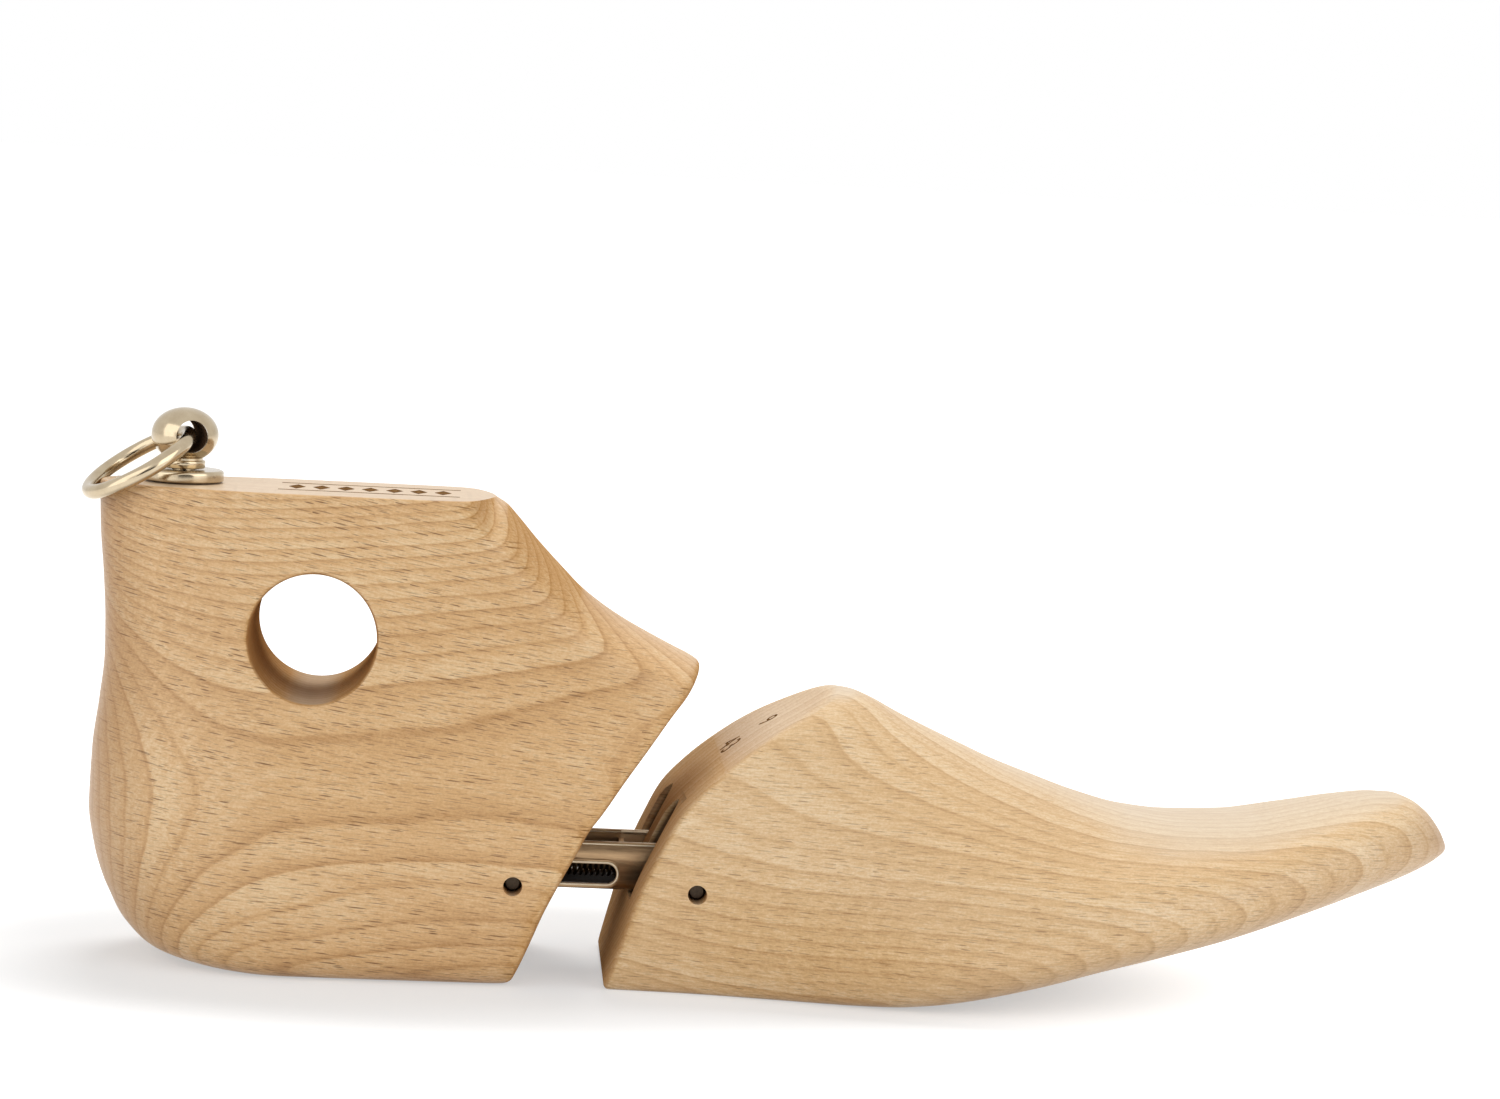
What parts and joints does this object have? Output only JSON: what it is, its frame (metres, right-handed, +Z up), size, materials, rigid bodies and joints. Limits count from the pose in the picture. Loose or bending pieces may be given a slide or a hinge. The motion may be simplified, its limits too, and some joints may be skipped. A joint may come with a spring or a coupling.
{
  "type": "boot tree",
  "caption": "Beech boot tree: a heel and ankle block with a finger hole and ring, joined to a forepart by a sprung, hinged steel link.",
  "frame": {"origin": "on the flat sole of the heel block, 62 mm in front of the back of the heel and on the middle plane", "axes": "+X from the heel to the toe, +Z up, +Y to the side away from the viewer of the picture"},
  "size_m": [0.3127, 0.09, 0.1225],
  "materials": {
    "heel_beech": "satin",
    "forepart_beech": "satin",
    "link_steel": "bronzed",
    "spring_steel": "drawn wire",
    "pin_steel": "bright drawn",
    "seat_steel": "turned",
    "nickel": "polished nickel",
    "insert_brass": "turned"
  },
  "bodies": {
    "front": {"forepart": "forepart_beech", "forepart_pin": "pin_steel"},
    "link": {"link_channel": "link_steel", "spring_guide": "seat_steel", "link_spring": "spring_steel"},
    "heel": {"heel_block": "heel_beech", "heel_pin": "pin_steel", "spring_seat": "seat_steel", "knob_rosette": "nickel", "ball_knob": "nickel", "knob_insert": "insert_brass"},
    "ring": {"pull_ring": "nickel"}
  },
  "joints": [
    {"name": "link_lift", "type": "hinge", "parent": "front", "child": "link", "pos_m": [0.07343, 0, 0.023], "axis": [0, 1, 0], "range_deg": [0, 18]},
    {"name": "heel_slide", "type": "slide", "parent": "link", "child": "heel", "axis": [1, 0, 0], "range_m": [0, 0.008], "stiffness_N_per_m": 700, "springref_m": -0.01, "deforming": ["link_spring"]},
    {"name": "ring_swing", "type": "hinge", "parent": "heel", "child": "ring", "pos_m": [-0.0438, 0, 0.11641], "axis": [-0.3256, 0.9455, 0], "range_deg": [0, 231]}
  ]
}
